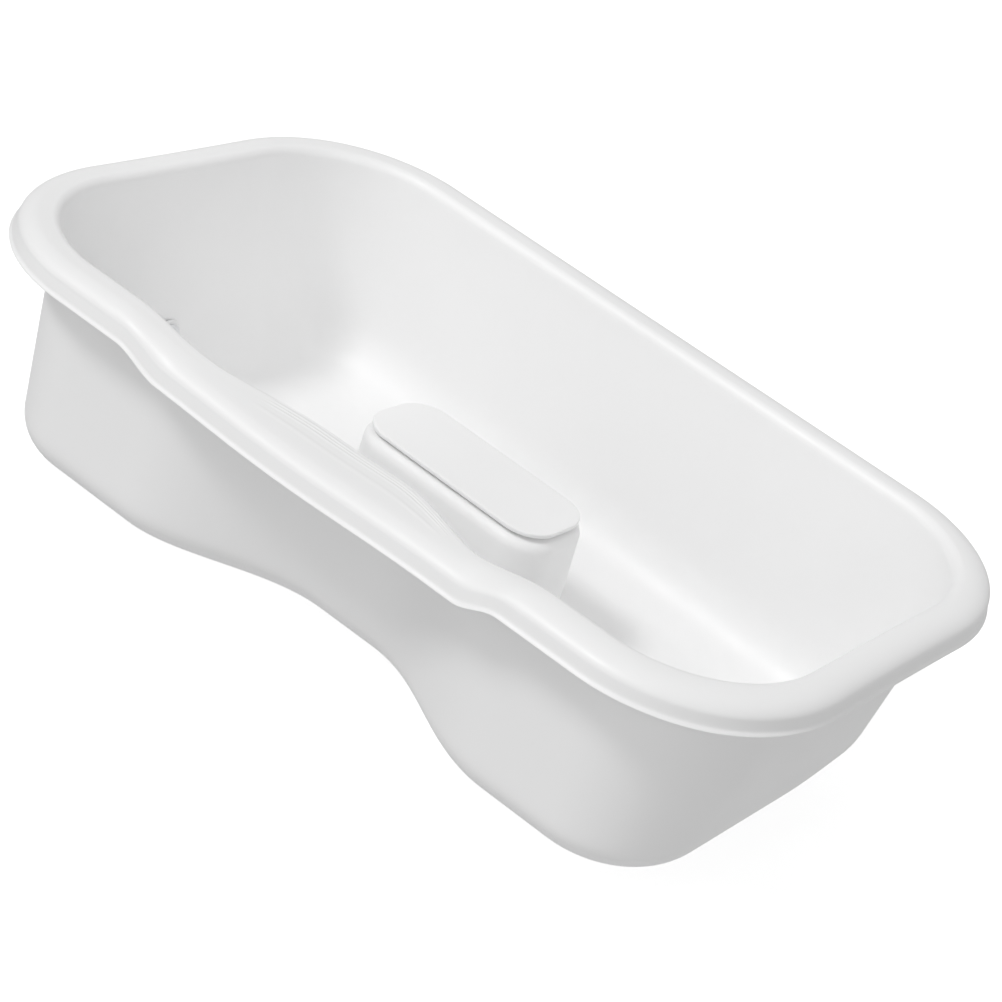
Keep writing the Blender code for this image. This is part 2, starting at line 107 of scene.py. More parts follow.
# The raised box, its well, its gasket and its lid
LID_LENGTH = 0.2065
LID_WIDTH = 0.0835
LID_RADIUS = 0.031
LID_THICKNESS = 0.004
LID_TOP = RIM_TOP - 0.0914
BOX_MIDDLE = (0.0037, 0.0027)
BOX_MARGIN = 0.0045
BOX_DRAFT = 0.0035
BOX_SHOULDER = 0.012
BOX_FOOT_FILLET = 0.010
SEAT_WIDTH = 0.010
WELL_DEPTH = 0.062
WELL_DRAFT = 0.002
GASKET_THICKNESS = 0.002
GASKET_INSET = 0.001
BOX_TOP = LID_TOP - LID_THICKNESS - GASKET_THICKNESS - 2 * GAP
LID_SKIRT_HEIGHT = 0.008
LID_SKIRT_WALL = 0.002
LID_SKIRT_CLEARANCE = 0.0006
LID_CROWN = 0.0003
LID_CROWN_WIDTH = 0.0035
LID_EDGE_RADIUS = 0.0012
LID_UNDER_RADIUS = 0.0006
LID_SKIRT_RADII = (0.0004, 0.0006, 0.0006, 0.0008)
SKIRT_ROOT = 0.003
MOUTH_EDGE = 0.0008
WELL_FILLET = 0.006
GASKET_EDGE = 0.0006

# The drain, low in the middle of the head end wall
DRAIN_HEIGHT = RIM_TOP - 0.171
DRAIN_HOLE_RADIUS = 0.0100
HOLE_REACH = 0.028
BUSH_RADIUS = 0.0096
BORE_RADIUS = 0.0073
FLANGE_RADIUS = 0.0140
FLANGE_THICKNESS = 0.0025
BUSH_TAIL = 0.0140
SEAL_THICKNESS = 0.0015
SEAL_INSET = 0.001
OUTER_SEAL_RADIUS = 0.0135
NUT_RADIUS = 0.0170
NUT_THICKNESS = 0.0060
PLUG_CAP_RADIUS = 0.0105
PLUG_CAP_THICKNESS = 0.0030
PLUG_STEM_LENGTH = 0.0080
PLUG_STEM_RADIUS = 0.0062
TAB_WIDTH = 0.013
TAB_LENGTH = 0.012
TAB_THICKNESS = 0.003
TAB_RADIUS = 0.006
TAB_HOLE_RADIUS = 0.0030
TAB_EDGE = 0.0008

# The rounded and bevelled edges of the drain's pieces
SEAL_EDGE = 0.0005
FLANGE_EDGE = 0.0018
BORE_EDGE = 0.0006
BUSH_UNDERCUTS = (0.0004, 0.0003)
PLUG_CAP_EDGES = (0.0012, 0.0005)
NUT_BEVEL = 0.0012
NUT_BORE_BEVEL = 0.0006
NUT_CORNER_CUT = 0.0004

# The start of the nut's bevel, as (distance from its face, reach past its flats)
NUT_CHAMFER = ((0.0, -0.0003), (0.00036, 0.0006))

# The thread on the bush and the sealing lips round the plug's stem
THREAD_PITCH = 0.0022
THREAD_DEPTH = 0.0005
THREAD_START = 0.0050
THREAD_FADE = 0.0008
LIP_HEIGHTS = (-0.0022, -0.0048)
LIP_HALF_HEIGHT = 0.0008

# The steps down the plug's stem, and its rounded end as (narrower by, height above the end)
STEM_STEP = 0.0002
STEM_END = ((0.0002, 0.0003), (0.0006, 0.0))

# The non-slip pads, with ring-shaped grooves underneath: their middle radii, half width and depth
PAD_RADIUS = 0.016
PAD_PLACES = {"head": -0.265, "foot": 0.262}
PAD_SIDES = {"near": -0.118, "far": 0.118}
PAD_GROOVES = (0.0035, 0.0065, 0.0095, 0.0125)
GROOVE_HALF_WIDTH = 0.0006
GROOVE_DEPTH = 0.0005
PAD_EDGES = (0.0004, 0.0007)
PAD_BORDER = 0.002

# A groove's section, as shares of its half width and of its depth
GROOVE_SECTION = ((1.0, 0.0), (0.6, 0.8), (0.3, 1.0), (-0.3, 1.0), (-0.6, 0.8), (-1.0, 0.0))

# The radii of the small discs that close the pads and the plug's cap on their axes
PAD_DISC_RADIUS = 0.001
CAP_DISC_RADIUS = 0.0005

# The lip's bead, as (inset, height above the bottom of the skirt), from its lower edge up to the skirt
LIP_BEAD = (
    (0.0008, 0.0000),
    (0.0002, 0.0003),
    (0.0000, 0.0008),
    (0.0002, 0.0014),
    (0.0007, 0.0020),
    (0.0014, 0.0026),
    (0.0020, 0.0032),
    (0.0024, 0.0040),
    (0.0026, 0.0052),
    (0.0028, 0.0072),
)

# The ribs on the armrest: how many, where they lie across the rim, and along it
RIB_COUNT = 5
RIB_FIRST = 0.0218
RIB_LAST = 0.0337
RIB_HEIGHT = 0.0003
RIB_HALF_WIDTH = 0.30
RIB_MARGIN = 0.001
RIB_HEAD_END = (-0.074, -0.060)
RIB_FOOT_END = (0.112, 0.146)

# The camera: its lens and sensor in millimetres, its place, which way it stands from the tub, and its roll
LENS = 81.146
SENSOR = 36.0
CAMERA_PLACE = (0.92447, -1.40271, 1.09157)
CAMERA_AZIMUTH = 32.2175
CAMERA_ELEVATION = 30.3002
CAMERA_ROLL = 18.0894

# The studio: a white dome, a floor and a backdrop that only the camera sees, a key light, three fills and
# two spots. Each pair is how bright the white dome is towards the plus end and the minus end of X, Y and Z.
DOME = ((0.0, 0.19), (0.52, 0.32), (0.44, 0.52))
FLOOR_GLOW = 0.5
FLOOR_COLOUR = (0.9, 0.9, 0.9, 1.0)
FLOOR_ROUGHNESS = 0.9
FLOOR_HALF_SIZE = 12.0
BACKDROP_GLOW = 1.0
BACKDROP_RADIUS = 11.5
BACKDROP_HEIGHT = 24.0
BACKDROP_SIDES = 64
WHITE = (1.0, 1.0, 1.0, 1.0)
BLACK = (0.0, 0.0, 0.0, 1.0)
KEY_DIRECTION = (-0.307, -0.538, 0.781)
KEY_SPREAD = 12
KEY_STRENGTH = 0.95
FILL_SPREAD = 40
FILL_ELEVATION = 20
FILLS = (("head fill", 300, 0.17), ("front fill", 0, 0.23), ("foot fill", 60, 0.57))
SPOT_CONE = 22
SPOT_SIZE = 0.15
SPOTS = (
    ("head spot", (0.2, -0.15, 1.15), (-0.25, 0.02, 0.1), 11.2),
    ("foot spot", (0.2, -0.1, 1.2), (0.2, 0.03, 0.0), 5.8),
)

# Points round each ring of the tub, and rings in each part of it
CORNER_POINTS = 34
NEAR_POINTS = 190
FAR_POINTS = 60
END_POINTS = 30
TURN_RINGS = 14
RIB_RINGS = 56
WALL_RINGS = 18
FILLET_RINGS = 14
SHOULDER_RINGS = 12
BOX_FILLET_RINGS = 6
BOX_SIDE_RINGS = 8
MOUTH_RINGS = 3

# Steps round the turned pieces, along the thread's pitch, and round the edges and the tab's outlines
TURN_STEPS = 128
THREAD_STEPS = 8
EDGE_STEPS = 6
TAB_CORNER_STEPS = 24
TAB_HOLE_STEPS = 48

# Edges sharper than these, in degrees, stay sharp
SHARP_ANGLE = 40
NUT_SHARP_ANGLE = 25

# The plastics' texture: how fine the clouds in colour and gloss are, and how strong the grain is
CLOUD_SCALE = 9.0
PATCH_SCALE = 38.0
GRAIN_STRENGTH = 0.6


def smooth(value, start, end):
    t = np.clip((value - start) / (end - start), 0.0, 1.0)
    return t * t * (3.0 - 2.0 * t)


def swell(x, middle, flat, ramp):
    t = np.clip((np.abs(x - middle) - flat) / ramp, 0.0, 1.0)
    return 0.5 + 0.5 * np.cos(math.pi * t)


def armrest_dip(x, across):
    head_step = np.add(HEAD_STEP_AT_LIP, across * np.subtract(HEAD_STEP_INSIDE, HEAD_STEP_AT_LIP))
    foot_step = np.add(FOOT_STEP_AT_LIP, across * np.subtract(FOOT_STEP_INSIDE, FOOT_STEP_AT_LIP))
    step = smooth(x, *head_step) * (1.0 - smooth(x, *foot_step))
    return step * (ARMREST_DIP + ARMREST_SAG * swell(x, ARMREST_SAG_MIDDLE, 0.0, ARMREST_SAG_REACH))


def armrest_bulge(x):
    return ARMREST_BULGE * smooth(x, *BULGE_HEAD_RAMP) * (1.0 - smooth(x, *BULGE_FOOT_RAMP))


def waist(x):
    return WAIST_DEPTH * swell(x, WAIST_MIDDLE, WAIST_FLAT, WAIST_RAMP)


def half_width(x):
    return (HEAD_WIDTH + (FOOT_WIDTH - HEAD_WIDTH) * (x / LENGTH + 0.5)) / 2


def corner_arc(last, corner, following, radius, count):
    """Points round a corner that is rounded off to this radius."""
    to_last = np.subtract(last, corner)
    to_next = np.subtract(following, corner)
    to_last /= np.linalg.norm(to_last)
    to_next /= np.linalg.norm(to_next)
    half_angle = math.acos(np.clip(to_last @ to_next, -1.0, 1.0)) / 2
    middle = to_last + to_next
    centre = corner + middle / np.linalg.norm(middle) * radius / math.sin(half_angle)
    start = corner + to_last * radius / math.tan(half_angle) - centre
    turn = math.pi - 2 * half_angle
    if to_last[0] * to_next[1] - to_last[1] * to_next[0] > 0:
        turn = -turn
    turns = math.atan2(start[1], start[0]) + turn * np.linspace(0.0, 1.0, count)
    return centre + radius * np.stack([np.cos(turns), np.sin(turns)], axis=1)


def rounded_outline(corners, radii):
    """Points round a four-sided outline with rounded corners, counterclockwise from its near head corner."""
    arcs = []
    for i, corner in enumerate(corners):
        arcs.append(corner_arc(corners[i - 1], corner, corners[(i + 1) % 4], radii[i], CORNER_POINTS))
    points = []
    for i, count in enumerate((NEAR_POINTS, END_POINTS, FAR_POINTS, END_POINTS)):
        start = arcs[i][-1]
        end = arcs[(i + 1) % 4][0]
        along = np.linspace(0.0, 1.0, count + 2)[1:-1, None]
        points += [arcs[i], start + (end - start) * along]
    return np.concatenate(points)


def four_sided(x_head, x_foot, near_head, near_foot, far_head, far_foot, radii):
    corners = [(x_head, near_head), (x_foot, near_foot), (x_foot, far_foot), (x_head, far_head)]
    return rounded_outline(corners, radii)


def inset_outline(inset_head, inset_foot):
    x_head = -LENGTH / 2 + inset_head
    x_foot = LENGTH / 2 - inset_foot
    y_head = half_width(x_head) - inset_head
    y_foot = half_width(x_foot) - inset_foot
    radii = np.subtract(LIP_RADII, (inset_head, inset_foot, inset_foot, inset_head))
    return four_sided(x_head, x_foot, -y_head, -y_foot, y_head, y_foot, radii)


def hollowed(outline, share):
    x, y = outline.T
    at_end = np.clip(np.abs(x) / (LENGTH / 2), 0.0, 1.0) ** END_HOLLOW_POWER
    hollow = share * END_HOLLOW * at_end * (1.0 - (2 * y / HEAD_WIDTH) ** 2)
    return np.stack([x - np.sign(x) * hollow, y], axis=1)


def lifted(outline, z):
    return np.column_stack([outline, np.broadcast_to(z, len(outline))])


def inward(outline):
    along = np.roll(outline, -1, axis=0) - np.roll(outline, 1, axis=0)
    along /= np.linalg.norm(along, axis=1)[:, None]
    return np.stack([-along[:, 1], along[:, 0]], axis=1)


def rib_height(x, inset):
    """How far the ribs stand above the armrest, at x and at this distance across the rim."""
    pitch = (RIB_LAST - RIB_FIRST) / (RIB_COUNT - 1)
    place = (inset - RIB_FIRST) / pitch
    nearest = np.clip(np.round(place), 0, RIB_COUNT - 1)
    off = np.clip(np.abs(place - nearest) / RIB_HALF_WIDTH, 0.0, 1.0)
    along = smooth(x, *RIB_HEAD_END) * (1.0 - smooth(x, *RIB_FOOT_END))
    return RIB_HEIGHT * (0.5 + 0.5 * np.cos(math.pi * off)) * along


def rim_ring(inset_head, inset_foot, z):
    outline = hollowed(inset_outline(inset_head, inset_foot), 1.0)
    near = outline[:, 1] < 0
    x = outline[:, 0].copy()
    outline[:, 1] += np.where(near, armrest_bulge(x) * smooth(inset_foot, *BULGE_INSETS), 0.0)
    dip = armrest_dip(x, inset_foot / RIM_WIDTH_FOOT)
    ribs = rib_height(x, (inset_head + inset_foot) / 2)
    return lifted(outline, RIM_TOP + z - np.where(near, dip - ribs, 0.0))


def floor_outline():
    x_head = -LENGTH / 2 + RIM_WIDTH_FOOT + INSET_HEAD
    x_foot = LENGTH / 2 - RIM_WIDTH_FOOT - INSET_FOOT
    near_head = -half_width(x_head) + RIM_WIDTH_FOOT + INSET_NEAR_HEAD
    near_foot = -half_width(x_foot) + RIM_WIDTH_FOOT + INSET_NEAR_FOOT
    far_head = half_width(x_head) - RIM_WIDTH_FOOT - INSET_FAR
    far_foot = half_width(x_foot) - RIM_WIDTH_FOOT - INSET_FAR
    return four_sided(x_head, x_foot, near_head, near_foot, far_head, far_foot, [FLOOR_RADIUS] * 4)


def outer_turn_ring(turn):
    out = 1.0 - math.cos(turn)
    down = OUTER_TURN_HEIGHT * (1.0 - math.sin(turn))
    return rim_ring(SKIRT_LEAN_HEAD + OUTER_TURN_HEAD * out, SKIRT_LEAN_FOOT + OUTER_TURN_FOOT * out, -down)


def inner_turn_ring(turn):
    short = INNER_TURN * (1.0 - math.sin(turn))
    down = INNER_TURN * (1.0 - math.cos(turn))
    return rim_ring(RIM_WIDTH_HEAD - short, RIM_WIDTH_FOOT - short, -down)


def rim_rings():
    """The rim: its lip, skirt and outer turn, fine rings across the ribs, and its inner turn."""
    lean = (SKIRT_LEAN_HEAD + SKIRT_LEAN_FOOT) / 2
    outer = (OUTER_TURN_HEAD + OUTER_TURN_FOOT) / 2
    wall = (RIM_WIDTH_HEAD + RIM_WIDTH_FOOT) / 2
    starts = np.array([SKIRT_LEAN_HEAD + OUTER_TURN_HEAD, SKIRT_LEAN_FOOT + OUTER_TURN_FOOT])
    ends = np.array([RIM_WIDTH_HEAD - INNER_TURN, RIM_WIDTH_FOOT - INNER_TURN])
    first = RIB_FIRST - RIB_MARGIN
    last = RIB_LAST + RIB_MARGIN
    first_turn = math.acos(1.0 - (first - lean) / outer)
    last_turn = math.asin(1.0 - (wall - last) / INNER_TURN)
    rings = [rim_ring(inset, inset, rise - SKIRT_HEIGHT) for inset, rise in LIP_BEAD]
    rings += [outer_turn_ring(turn) for turn in np.linspace(0.0, first_turn, TURN_RINGS + 1)]
    for inset in np.linspace(first, last, RIB_RINGS + 1)[1:]:
        if inset < starts.mean():
            rings.append(outer_turn_ring(math.acos(1.0 - (inset - lean) / outer)))
        elif inset <= ends.mean():
            share = (inset - starts.mean()) / (ends.mean() - starts.mean())
            rings.append(rim_ring(*(starts + (ends - starts) * share), 0.0))
        else:
            rings.append(inner_turn_ring(math.asin(1.0 - (wall - inset) / INNER_TURN)))
    rings += [inner_turn_ring(turn) for turn in np.linspace(last_turn, math.pi / 2, TURN_RINGS + 1)[1:]]
    rings.append(rim_ring(RIM_WIDTH_HEAD, RIM_WIDTH_FOOT, WALL_TOP - RIM_TOP))
    return rings


def wall_rings():
    head = inset_outline(RIM_WIDTH_HEAD, RIM_WIDTH_FOOT)
    foot = floor_outline()
    fillet = FILLET_NEAR + (FILLET_FAR - FILLET_NEAR) * smooth(foot[:, 1], *FILLET_CHANGE)

    def at_height(z):
        down = (WALL_TOP - z) / (WALL_TOP - FLOOR)
        share = down[:, None]
        hollow = 1.0 - smooth(down, 0.0, HOLLOW_ENDS)
        outline = hollowed(head, hollow) * (1.0 - share) + foot * share
        near = outline[:, 1] < 0
        x = outline[:, 0]
        reach = armrest_bulge(x) * (1.0 - down) + waist(x) * down
        outline[:, 1] += np.where(near, reach, 0.0)
        return outline, near

    rings = []
    for step in range(1, WALL_RINGS + 1):
        share = step / WALL_RINGS
        z = WALL_TOP + (FLOOR + fillet - WALL_TOP) * share
        outline, near = at_height(z)
        dip = armrest_dip(outline[:, 0], 1.0) * (1.0 - smooth(share, 0.0, DIP_ENDS))
        rings.append(lifted(outline, z - np.where(near, dip, 0.0)))
    for step in range(1, FILLET_RINGS + 1):
        turn = math.pi / 2 * step / FILLET_RINGS
        z = FLOOR + fillet * (1.0 - math.sin(turn))
        outline, near = at_height(z)
        outline += inward(outline) * (fillet * (1.0 - math.cos(turn)))[:, None]
        rings.append(lifted(outline, z))
    return rings


def box_outline(margin):
    x, y = BOX_MIDDLE
    length = LID_LENGTH / 2 + margin
    width = LID_WIDTH / 2 + margin
    radius = LID_RADIUS + margin
    return four_sided(x - length, x + length, y - width, y - width, y + width, y + width, [radius] * 4)


def box_rings():
    """The raised box, from its foot up its sides, over its shoulder and down into the well."""
    rings = []
    base = BOX_MARGIN + BOX_DRAFT
    for turn in np.linspace(0.0, math.pi / 2, BOX_FILLET_RINGS):
        out = base + BOX_FOOT_FILLET * (1.0 - math.sin(turn))
        rings.append(lifted(box_outline(out), FLOOR + BOX_FOOT_FILLET * (1.0 - math.cos(turn))))
    side_low = rings[-1]
    side_high = lifted(box_outline(BOX_MARGIN), BOX_TOP - BOX_SHOULDER)
    for share in np.linspace(0.0, 1.0, BOX_SIDE_RINGS)[1:-1]:
        rings.append(side_low + (side_high - side_low) * share)
    for turn in np.linspace(0.0, math.pi / 2, SHOULDER_RINGS):
        out = BOX_MARGIN - BOX_SHOULDER * (1.0 - math.cos(turn))
        rings.append(lifted(box_outline(out), BOX_TOP - BOX_SHOULDER * (1.0 - math.sin(turn))))
    mouth = BOX_MARGIN - BOX_SHOULDER - SEAT_WIDTH
    for turn in np.linspace(0.0, math.pi / 2, MOUTH_RINGS):
        out = mouth + MOUTH_EDGE * (1.0 - math.sin(turn))
        rings.append(lifted(box_outline(out), BOX_TOP - MOUTH_EDGE * (1.0 - math.cos(turn))))
    well_floor = BOX_TOP - WELL_DEPTH
    for turn in np.linspace(0.0, math.pi / 2, BOX_FILLET_RINGS):
        out = mouth - WELL_DRAFT - WELL_FILLET * (1.0 - math.cos(turn))
        rings.append(lifted(box_outline(out), well_floor + WELL_FILLET * (1.0 - math.sin(turn))))
    return rings


def new_object(name, mesh):
    made = bpy.data.objects.new(name, mesh)
    bpy.context.scene.collection.objects.link(made)
    return made


def loft(name, rings, first_cap=False, last_cap=False, closed=False):
    """A surface through the rings, with the end rings filled, or joined to each other if it's closed."""
    count = len(rings[0])
    index = np.arange(len(rings) * count).reshape(len(rings), count)
    if closed:
        index = np.concatenate([index, index[:1]])
    onward = np.roll(index, -1, axis=1)
    quads = np.stack([index[:-1], onward[:-1], onward[1:], index[1:]], axis=2).reshape(-1, 4)
    faces = quads.tolist()
    if first_cap:
        faces.append(index[0][::-1].tolist())
    if last_cap:
        faces.append(index[-1].tolist())
    mesh = bpy.data.meshes.new(name)
    mesh.from_pydata(np.concatenate(rings).tolist(), [], faces)
    return new_object(name, mesh)


def rounded(corners, radii, closed=True):
    """The points of a profile, as (out, height), with each corner rounded off to its radius."""
    points = []
    for i, corner in enumerate(corners):
        at_end = not closed and i in (0, len(corners) - 1)
        if at_end or radii[i] == 0.0:
            points.append(np.reshape(corner, (1, 2)))
            continue
        following = corners[(i + 1) % len(corners)]
        points.append(corner_arc(corners[i - 1], corner, following, radii[i], EDGE_STEPS))
    return np.concatenate(points)


def circle(radius, height):
    turns = np.linspace(0.0, 2 * math.pi, TURN_STEPS, endpoint=False)
    return lifted(np.stack([radius * np.cos(turns), radius * np.sin(turns)], axis=1), height)


def ring_of(radii, height):
    """A ring with its own radius at each of its points."""
    ring = circle(1.0, height)
    ring[:, :2] *= radii[:, None]
    return ring


def recalculate(obj):
    """Turns the faces of a closed body outwards."""
    work = bmesh.new()
    work.from_mesh(obj.data)
    bmesh.ops.recalc_face_normals(work, faces=work.faces)
    work.to_mesh(obj.data)
    work.free()


def finish_mesh(obj, angle=SHARP_ANGLE):
    recalculate(obj)
    obj.data.shade_smooth()
    obj.data.set_sharp_from_angle(angle=math.radians(angle))
    return obj


def bake_modifiers(obj):
    """Puts the evaluated mesh in place of the object's own, and takes the modifiers off."""
    graph = bpy.context.evaluated_depsgraph_get()
    mesh = bpy.data.meshes.new_from_object(obj.evaluated_get(graph))
    obj.modifiers.clear()
    obj.data = mesh
    mesh.name = obj.name


def drain_frame():
    top = Vector((-LENGTH / 2 + RIM_WIDTH_HEAD, 0.0, WALL_TOP))
    bottom = Vector((-LENGTH / 2 + RIM_WIDTH_FOOT + INSET_HEAD, 0.0, FLOOR))
    up = (top - bottom).normalized()
    side = Vector((0.0, 1.0, 0.0))
    into = side.cross(up)
    made = Matrix((side, up, into)).transposed().to_4x4()
    made.translation = top + (bottom - top) * (top.z - DRAIN_HEIGHT) / (top.z - bottom.z)
    return made


def tub():
    shell = loft("tub_moulding", rim_rings() + wall_rings() + box_rings(), last_cap=True)
    wall = shell.modifiers.new("wall", "SOLIDIFY")
    wall.thickness = WALL
    wall.offset = -1.0
    wall.use_even_offset = True
    rings = [circle(DRAIN_HOLE_RADIUS, -HOLE_REACH), circle(DRAIN_HOLE_RADIUS, HOLE_REACH)]
    hole = loft("drain_hole", rings, first_cap=True, last_cap=True)
    recalculate(hole)
    hole.matrix_world = drain_frame()
    cut = shell.modifiers.new("drain hole", "BOOLEAN")
    cut.operation = "DIFFERENCE"
    cut.solver = "EXACT"
    cut.object = hole
    bake_modifiers(shell)
    bpy.data.objects.remove(hole)
    shell.data.shade_smooth()
    shell.data.set_sharp_from_angle(angle=math.radians(SHARP_ANGLE))
    return shell


def lid():
    """The lid: a plate with rounded edges, and a skirt under it that drops into the well's mouth."""
    skirt_out = BOX_MARGIN - BOX_SHOULDER - SEAT_WIDTH - LID_SKIRT_CLEARANCE
    skirt_in = skirt_out - LID_SKIRT_WALL
    under = LID_TOP - LID_THICKNESS
    low = under - LID_SKIRT_HEIGHT
    profile = rounded(
        [
            (-LID_CROWN_WIDTH, LID_TOP),
            (0.0, LID_TOP - LID_CROWN),
            (0.0, under),
            (skirt_out, under),
            (skirt_out, low),
            (skirt_in, low),
            (skirt_in, under),
            (skirt_in - SKIRT_ROOT, under),
        ],
        (0.0, LID_EDGE_RADIUS, LID_UNDER_RADIUS, *LID_SKIRT_RADII, 0.0),
        closed=False,
    )
    rings = [lifted(box_outline(out), height) for out, height in profile]
    return finish_mesh(loft("lid_moulding", rings, first_cap=True, last_cap=True))


def gasket():
    seat_out = BOX_MARGIN - BOX_SHOULDER
    out = seat_out - GASKET_INSET
    inside = seat_out - SEAT_WIDTH + GASKET_INSET
    low = BOX_TOP + GAP
    high = low + GASKET_THICKNESS
    profile = rounded([(inside, high), (out, high), (out, low), (inside, low)], [GASKET_EDGE] * 4)
    rings = [lifted(box_outline(margin), height) for margin, height in profile]
    return finish_mesh(loft("lid_gasket_ring", rings, closed=True))


def turned(name, profile, **ends):
    return loft(name, [circle(radius, height) for radius, height in profile], **ends)


def seal(name, outer, low, high):
    inner = BUSH_RADIUS + GAP
    profile = rounded([(inner, high), (outer, high), (outer, low), (inner, low)], [SEAL_EDGE] * 4)
    made = finish_mesh(turned(name, profile, closed=True))
    made.matrix_world = drain_frame()
    return made


def bush():
    """The drain's bush: a flange with rounded edges, a bore, and a thread round its tail."""
    low = SEAL_THICKNESS + 2 * GAP
    high = low + FLANGE_THICKNESS
    end = -WALL - BUSH_TAIL
    profile = rounded(
        [
            (BORE_RADIUS, end),
            (BORE_RADIUS, high),
            (FLANGE_RADIUS, high),
            (FLANGE_RADIUS, low),
            (BUSH_RADIUS, low),
            (BUSH_RADIUS, -THREAD_START),
        ],
        (0.0, BORE_EDGE, FLANGE_EDGE, *BUSH_UNDERCUTS, 0.0),
        closed=False,
    )
    rings = [circle(radius, height) for radius, height in profile]
    turns = np.linspace(0.0, 1.0, TURN_STEPS, endpoint=False)
    for height in np.arange(-THREAD_START, end, -THREAD_PITCH / THREAD_STEPS)[1:]:
        fade = smooth(-height, THREAD_START, THREAD_START + THREAD_FADE)
        fade *= 1.0 - smooth(-height, -end - THREAD_FADE, -end)
        wave = 0.5 + 0.5 * np.cos(2 * math.pi * (height / THREAD_PITCH - turns))
        rings.append(ring_of(BUSH_RADIUS - fade * THREAD_DEPTH * wave, height))
    rings.append(circle(BUSH_RADIUS - THREAD_DEPTH, end))
    made = finish_mesh(loft("drain_bush_threaded", rings, closed=True))
    made.matrix_world = drain_frame()
    return made


def nut():
    """The drain's hexagonal nut, with its corners turned off at both faces."""
    high = -WALL - SEAL_THICKNESS - 2 * GAP
    low = high - NUT_THICKNESS
    turns = np.linspace(0.0, 2 * math.pi, TURN_STEPS, endpoint=False)
    flat = NUT_RADIUS * math.cos(math.pi / 6)
    sixth = math.pi / 3
    hexagon = flat / np.cos((turns % sixth) - sixth / 2)
    bore = BUSH_RADIUS + GAP
    bevel = [(down, flat + reach) for down, reach in NUT_CHAMFER]
    bevel.append((NUT_BEVEL, NUT_RADIUS - NUT_CORNER_CUT))
    rings = [circle(bore, low + NUT_BORE_BEVEL), circle(bore + NUT_BORE_BEVEL, low)]
    rings += [ring_of(np.minimum(hexagon, limit), low + down) for down, limit in bevel]
    rings += [ring_of(np.minimum(hexagon, limit), high - down) for down, limit in reversed(bevel)]
    rings += [circle(bore + NUT_BORE_BEVEL, high), circle(bore, high - NUT_BORE_BEVEL)]
    made = finish_mesh(loft("drain_nut_hex", rings, closed=True), NUT_SHARP_ANGLE)
    made.matrix_world = drain_frame()
    return made


def tab():
    """The plug's pull tab: a small plate with rounded edges and a finger hole."""
    curve = bpy.data.curves.new("plug_tab", "CURVE")
    curve.dimensions = "2D"
    curve.fill_mode = "BOTH"
    curve.extrude = TAB_THICKNESS / 2 - TAB_EDGE
    curve.bevel_depth = TAB_EDGE
    curve.bevel_resolution = 4
    curve.offset = -TAB_EDGE
    length = TAB_LENGTH / 2
    width = TAB_WIDTH / 2
    corners = [(-length, -width), (length, -width), (length, width), (-length, width)]
    arcs = []
    for i, corner in enumerate(corners):
        arcs.append(corner_arc(corners[i - 1], corner, corners[(i + 1) % 4], TAB_RADIUS, TAB_CORNER_STEPS))
    plate = np.concatenate(arcs)
    turns = np.linspace(0.0, 2 * math.pi, TAB_HOLE_STEPS, endpoint=False)
    hole = TAB_HOLE_RADIUS * np.stack([np.cos(turns), np.sin(turns)], axis=1)
    for outline in (plate, hole):
        spline = curve.splines.new("POLY")
        spline.points.add(len(outline) - 1)
        spline.use_cyclic_u = True
        for point, (x, y) in zip(spline.points, outline):
            point.co = (x, y, 0.0, 1.0)
    guide = new_object("plug_tab_outline", curve)
    graph = bpy.context.evaluated_depsgraph_get()
    mesh = bpy.data.meshes.new_from_object(guide.evaluated_get(graph))
    bpy.data.objects.remove(guide)
    made = new_object("plug_tab", mesh)
    work = bmesh.new()
    work.from_mesh(mesh)
    bmesh.ops.remove_doubles(work, verts=work.verts, dist=1e-6)
    bmesh.ops.recalc_face_normals(work, faces=work.faces)
    work.to_mesh(mesh)
    work.free()
    return made


def plug():
    """The drain plug: a cap with a rounded edge, a stem with two sealing lips, and a pull tab."""
    seat = SEAL_THICKNESS + 3 * GAP + FLANGE_THICKNESS
    cap_top = seat + PLUG_CAP_THICKNESS
    profile = rounded(
        [
            (CAP_DISC_RADIUS, cap_top),
            (PLUG_CAP_RADIUS, cap_top),
            (PLUG_CAP_RADIUS, seat),
            (PLUG_STEM_RADIUS, seat),
        ],
        (0.0, *PLUG_CAP_EDGES, 0.0),
        closed=False,
    ).tolist()
    for drop in np.arange(STEM_STEP, PLUG_STEM_LENGTH - 4 * STEM_STEP, STEM_STEP):
        lips = [max(0.0, 1.0 - abs(drop + lip) / LIP_HALF_HEIGHT) for lip in LIP_HEIGHTS]
        reach = (BORE_RADIUS - GAP - PLUG_STEM_RADIUS) * math.sin(math.pi / 2 * max(lips))
        profile.append((PLUG_STEM_RADIUS + reach, seat - drop))
    for narrower, above in STEM_END:
        profile.append((PLUG_STEM_RADIUS - narrower, seat - PLUG_STEM_LENGTH + above))
    made = turned("drain_plug_body", profile, first_cap=True, last_cap=True)
    recalculate(made)
    frame_of_drain = drain_frame()
    made.matrix_world = frame_of_drain
    grip = tab()
    lift = Matrix.Translation((0.0, 0.0, cap_top + TAB_LENGTH / 2 - PLUG_CAP_THICKNESS / 2))
    grip.matrix_world = frame_of_drain @ lift @ Matrix.Rotation(math.pi / 2, 4, "Y")
    join = made.modifiers.new("tab", "BOOLEAN")
    join.operation = "UNION"
    join.solver = "EXACT"
    join.object = grip
    bake_modifiers(made)
    bpy.data.objects.remove(grip)
    return finish_mesh(made)


